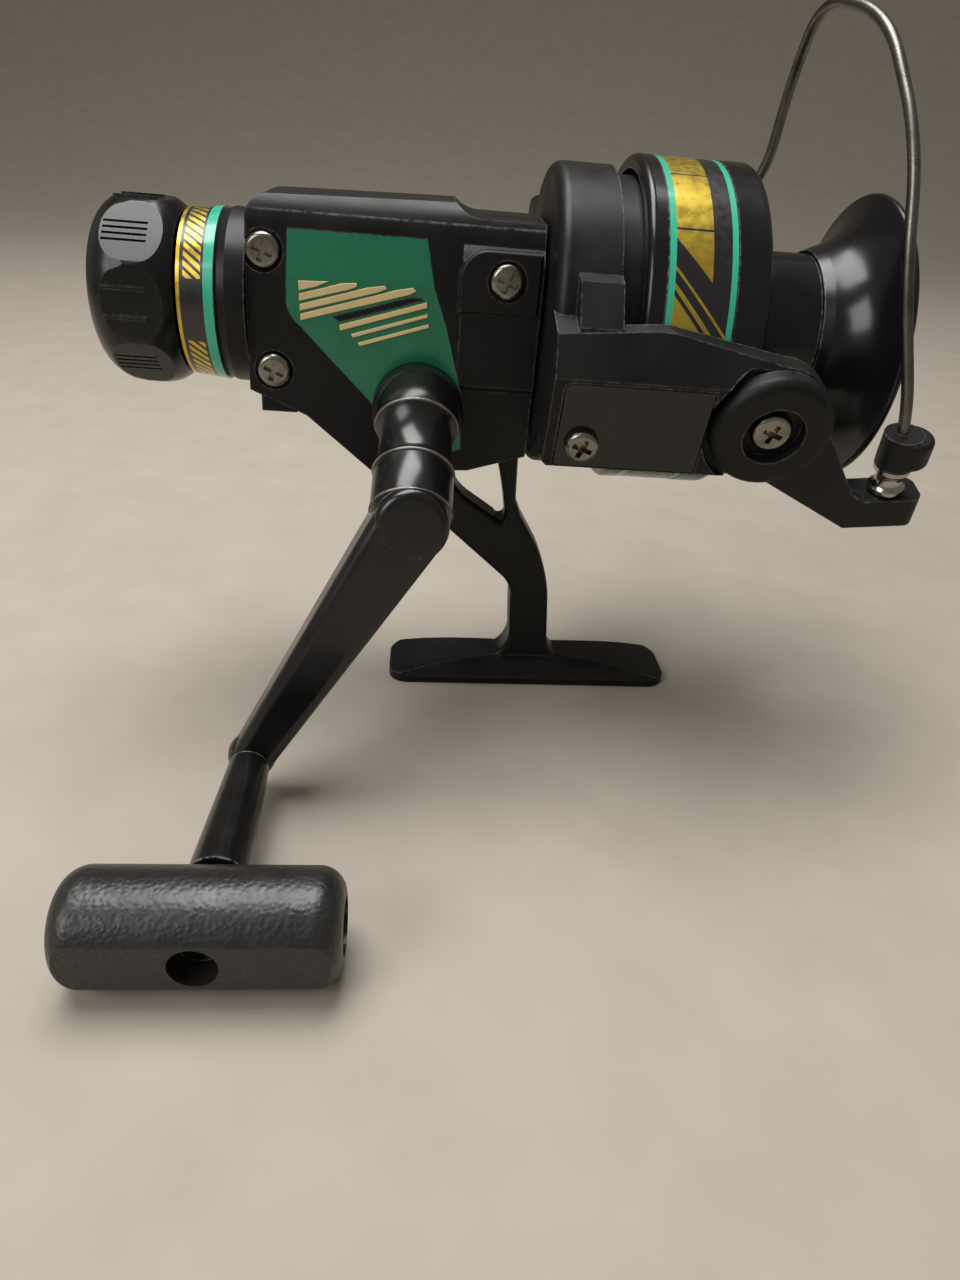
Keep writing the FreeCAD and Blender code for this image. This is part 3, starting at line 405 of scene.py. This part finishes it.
def draw_rear(tree, along, turn):
    slant = slanted(tree, along, turn, REAR_SLANT, -REAR_SLANT * REAR_START)
    wave = add(tree, "Math", {0: slant, 1: BAR_PITCH, 2: 0.0}, operation="WRAP").outputs["Value"]
    bars = both(tree, between(tree, wave, 0.0, BAR_WIDTH), between(tree, along, *BAR_ALONG))
    groups = either(tree, [between(tree, turn, *group) for group in BAR_GROUPS])
    edge = between(tree, along, *REAR_GOLD_EDGE)
    return either(tree, [both(tree, bars, groups), edge]), between(tree, along, *REAR_TEAL_EDGE)


skirt_print = printed_foil("printed_foil_skirt", draw_skirt)
rear_print = printed_foil("printed_foil_rear", draw_rear)

# %% [markdown]
# ## A finish for every piece
# Each piece of the frame gets the finish its real counterpart has, so a table of finish and pieces
# is all that is needed; pieces of one moulding share one material.

# %% Dress the frame
FINISH = {
    satin_housing: ["main_housing", "side_cover", "drag_collar", "anti_reverse_lever"],
    satin_rotor: ["rotor", "bail_arm", "bail_holder_far", "roller_cap", "trip_lever"],
    gloss_spool: ["spool_body", "spool_lip", "spool_front_plate", "spool_button"],
    gloss_knob: ["drag_knob"],
    crank_black: ["crank_shank", "crank_arm", "knob_spindle", "crank_cap"],
    arm_window: ["arm_cover_near", "arm_cover_far"],
    grip: ["crank_knob", "knob_end_cap"],
    screw_steel: ["cover_screws", "arm_cover_screws", "bail_pivot_screws", "shaft_clips",
                  "anti_reverse_pin"],
    bright_steel: ["line_roller", "roller_axle"],
    wire_steel: ["bail_wire"],
    shaft_steel: ["main_shaft", "drag_sleeve", "drag_spring_washer", "bail_spring", "rotor_nut",
                  "pinion_bearing", "spool_click_wheel", "oscillation_pin"],
    gear_zinc: ["drive_gear", "oscillation_gear", "ratchet_wheel", "oscillation_slider"],
    pinion_brass: ["pinion_gear", "drive_bushes"],
    fibre: ["drag_washers"],
    green_foil: ["side_label"],
    skirt_print: ["spool_band"],
    rear_print: ["drag_band"],
}
for material, names in FINISH.items():
    for name in names:
        NODES[name].data.materials.clear()
        NODES[name].data.materials.append(material)
        for face in NODES[name].data.polygons:
            face.material_index = 0
undressed = set(NODES) - {name for names in FINISH.values() for name in names}
print("undressed nodes:", sorted(undressed))

# %% [markdown]
# ## Raised ornament on the label
# The green label carries bars of stamped gold, each a shallow raised strip with bevelled edges:
# four slanted bars stacked like steps and one long thin bar under them, with a black printed
# stripe between. They are drawn as outlines on the label's flat face, extruded a quarter of a
# millimetre and bevelled. Two plain lines stand below where a maker would set a name.

# %% Label ornament
LABEL_FACE = -13.15          # front of the label's flat part
STACKED_BARS = [
    [(-49.0, 83.4), (-43.8, 83.6), (-46.0, 82.6), (-48.9, 81.8)],
    [(-48.9, 81.3), (-41.5, 83.5), (-39.0, 83.7), (-39.0, 83.1), (-40.4, 82.5), (-48.9, 80.1)],
    [(-48.8, 79.6), (-37.2, 83.1), (-34.2, 83.6), (-33.9, 83.1), (-35.4, 82.4), (-48.8, 78.5)],
    [(-48.7, 78.0), (-32.4, 83.0), (-29.4, 83.6), (-28.8, 83.1), (-30.0, 82.4), (-48.7, 76.9)],
]
LONG_BAR = [(-42.0, 76.6), (-26.9, 81.4), (-26.8, 80.5), (-41.9, 75.6)]
SHADOW_STRIPE = [(-43.4, 77.9), (-29.6, 82.1), (-27.8, 82.0), (-27.4, 81.6), (-42.0, 77.0)]
NAME_LINES = [
    [(-40.0, 75.2), (-26.7, 79.5), (-26.6, 78.9), (-39.6, 74.6)],
    [(-38.8, 73.8), (-26.5, 77.8), (-26.3, 77.2), (-38.4, 73.2)],
]


def strips(outlines, base, height, rounding):
    """Thin raised strips on a plane of constant Y; outlines hold X and Z in millimetres."""
    builder = bmesh.new()
    for outline in outlines:
        corners = [builder.verts.new((x, base, z)) for x, z in outline]
        face = builder.faces.new(corners)
        raised = bmesh.ops.extrude_face_region(builder, geom=[face])
        lifted = [v for v in raised["geom"] if isinstance(v, bmesh.types.BMVert)]
        bmesh.ops.translate(builder, vec=(0.0, -height, 0.0), verts=lifted)
        rim = [e for e in builder.edges if all(v in lifted for v in e.verts)]
        bmesh.ops.bevel(builder, geom=rim, offset=rounding, offset_type="OFFSET", segments=2,
                        profile=0.5, affect="EDGES", material=-1)
    return builder


settle("label_gold_bars", strips(STACKED_BARS + [LONG_BAR] + NAME_LINES, LABEL_FACE + 0.05, 0.35,
                                 0.12), "housing", gold_print, smooth=False)
settle("label_black_stripe", strips([SHADOW_STRIPE], LABEL_FACE + 0.05, 0.1, 0.03), "housing",
       satin_housing, smooth=False)

# %% [markdown]
# ## Crank sleeve
# The sleeve on the crank shaft is a turned part: a collar on the boss, a slim waist, and two
# wider drums that end in small beads rubbed bright by hands. A profile is spun about the
# sleeve's own axis, which leans forward and down, and cut flat where it meets the boss.

# %% Crank sleeve
SLEEVE_BASE = Vector((-27.7, -19.3, 62.85))
SLEEVE_END = Vector((-28.1, -38.2, 51.0))
BOSS_FACE = -19.42
SLEEVE_PROFILE = [(7.3, -6.0), (7.3, 2.2), (7.1, 2.7), (6.4, 3.0), (6.4, 11.0), (6.6, 11.8),
                  (6.95, 12.4), (6.95, 20.6), (6.8, 21.4), (6.4, 23.0)]
BEADS = [(7.3, 2.3), (6.98, 12.7), (6.9, 20.9)]
SPIN_STEPS = 96


def to_sleeve(builder):
    lean = (SLEEVE_END - SLEEVE_BASE).to_track_quat("Z", "X").to_matrix().to_4x4()
    bmesh.ops.transform(builder, matrix=Matrix.Translation(SLEEVE_BASE) @ lean,
                        verts=builder.verts)


def spin_round_z(builder, geometry):
    bmesh.ops.spin(builder, geom=geometry, cent=(0, 0, 0), axis=(0, 0, 1), dvec=(0, 0, 0),
                   angle=math.tau, steps=SPIN_STEPS, use_merge=True, use_duplicate=False)
    bmesh.ops.remove_doubles(builder, verts=builder.verts, dist=0.0001)


sleeve = bmesh.new()
rail = [sleeve.verts.new((radius, 0.0, height)) for radius, height in SLEEVE_PROFILE]
lines = [sleeve.edges.new(pair) for pair in zip(rail, rail[1:])]
spin_round_z(sleeve, rail + lines)
to_sleeve(sleeve)
whole = list(sleeve.verts) + list(sleeve.edges) + list(sleeve.faces)
bmesh.ops.bisect_plane(sleeve, geom=whole, plane_co=(0, BOSS_FACE, 0), plane_no=(0, 1, 0),
                       clear_outer=True, dist=0.0001)
bmesh.ops.holes_fill(sleeve, edges=[e for e in sleeve.edges if e.is_boundary], sides=0)
crank_sleeve = settle("crank_sleeve", sleeve, "crank", crank_black)
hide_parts("crank_shank")

beads = bmesh.new()
for radius, height in BEADS:
    ring = bmesh.ops.create_circle(beads, segments=12, radius=0.28)
    bmesh.ops.rotate(beads, verts=ring["verts"], cent=(0, 0, 0),
                     matrix=Matrix.Rotation(math.radians(90), 3, "X"))
    bmesh.ops.translate(beads, verts=ring["verts"], vec=(radius - 0.08, 0, height))
    edges = list({e for v in ring["verts"] for e in v.link_edges})
    spin_round_z(beads, ring["verts"] + edges)
to_sleeve(beads)
settle("crank_beads", beads, "crank", worn_edge)

# %% [markdown]
# ## Camera
# The reel is seen from close by with a wide lens, 30 degrees from above, a little turned and
# rolled, which is why the crank looks large.

# %% Camera
CAMERA_AT = Vector((-25.11, -176.47, 109.08)) * MM
LENS_MM, SENSOR_MM = 25.01, 36.0
PITCH, YAW, ROLL = (math.radians(angle) for angle in (30.0, 4.591, 3.671))
forward = Vector((math.sin(YAW) * math.cos(PITCH), math.cos(YAW) * math.cos(PITCH),
                  -math.sin(PITCH)))
level_right = Vector((math.cos(YAW), -math.sin(YAW), 0.0))
level_up = level_right.cross(forward)
right = level_right * math.cos(ROLL) + level_up * math.sin(ROLL)
up = level_up * math.cos(ROLL) - level_right * math.sin(ROLL)
lens = bpy.data.cameras.new("camera")
lens.lens, lens.sensor_width = LENS_MM, SENSOR_MM
lens.clip_start = 0.01
camera = bpy.data.objects.new("camera", lens)
camera.matrix_world = Matrix((
    (right.x, up.x, -forward.x, CAMERA_AT.x), (right.y, up.y, -forward.y, CAMERA_AT.y),
    (right.z, up.z, -forward.z, CAMERA_AT.z), (0, 0, 0, 1)))
bpy.context.scene.collection.objects.link(camera)
bpy.context.scene.camera = camera
bpy.context.scene.view_settings.view_transform = "Standard"
print("camera looks along", [round(c, 3) for c in forward])


# %% [markdown]
# ## Floor
# The floor is a plain woven cloth, swept up behind the reel so that no horizon line shows. Its
# threads are a millimetre apart, and a slow noise stands for old stains.

# %% Floor
def cloth_floor():
    material, tree = fresh("woven_cloth")
    place = add(tree, "TexCoord").outputs["Object"]
    stains = add(tree, "TexNoise", {"Vector": place, "Scale": per_mm(18), "Detail": 6.0})
    threads = add(tree, "TexWave", {"Vector": place, "Scale": per_mm(1.0) / 20, "Distortion": 1.5,
                                    "Detail": 2.0, "Detail Scale": 2.0},
                  bands_direction="DIAGONAL")
    shade = add(tree, "Mix", {"Factor": stains.outputs["Fac"], 6: colour("#a39a8c"),
                              7: colour("#b3aa9c")}, data_type="RGBA")
    bump = add(tree, "Bump", {"Height": threads.outputs["Fac"], "Strength": 0.4,
                              "Distance": 0.1 * MM})
    shader = add(tree, "BsdfPrincipled", {"Base Color": shade.outputs[2], "Roughness": 0.85,
                                          "Normal": bump.outputs["Normal"]})
    add(tree, "OutputMaterial", {"Surface": shader.outputs["BSDF"]})
    return material


sheet = bmesh.new()
bmesh.ops.create_grid(sheet, x_segments=1, y_segments=1, size=2.0)
far_edge = [e for e in sheet.edges if all(v.co.y > 1.9 for v in e.verts)]
wall = bmesh.ops.extrude_edge_only(sheet, edges=far_edge)
bmesh.ops.translate(sheet, vec=(0.0, 0.0, 2.0),
                    verts=[v for v in wall["geom"] if isinstance(v, bmesh.types.BMVert)])
bmesh.ops.bevel(sheet, geom=far_edge, offset=1.2, offset_type="OFFSET", segments=16,
                profile=0.5, affect="EDGES", material=-1)
floor_mesh = bpy.data.meshes.new("floor")
sheet.to_mesh(floor_mesh)
sheet.free()
floor_mesh.materials.append(cloth_floor())
for polygon in floor_mesh.polygons:
    polygon.use_smooth = True
floor = bpy.data.objects.new("floor", floor_mesh)
bpy.context.scene.collection.objects.link(floor)
print("floor:", len(floor_mesh.polygons), "faces")

# %% [markdown]
# ## Light
# One big soft lamp hangs overhead and a weaker one stands at the left, as in a room by a window.

# %% Lights
def lamp(name, place, aim, size, power):
    light = bpy.data.lights.new(name, "AREA")
    light.shape = "RECTANGLE"
    light.size, light.size_y = size
    light.energy = power
    holder = bpy.data.objects.new(name, light)
    holder.location = place
    holder.rotation_euler = (Vector(aim) - Vector(place)).to_track_quat("-Z", "Y").to_euler()
    bpy.context.scene.collection.objects.link(holder)


lamp("lamp_overhead", (-0.12, 0.10, 0.75), (0.0, 0.0, 0.06), (0.60, 0.40), 6.6)
lamp("lamp_left", (-0.55, -0.45, 0.50), (0.0, 0.0, 0.06), (0.40, 0.40), 2.6)
world = bpy.data.worlds.new("soft_room")
world.use_nodes = True
world.node_tree.nodes["Background"].inputs["Color"].default_value = colour("#e6e1da")
world.node_tree.nodes["Background"].inputs["Strength"].default_value = 0.30
bpy.context.scene.world = world
print("lights: overhead and left, with a dim room around")
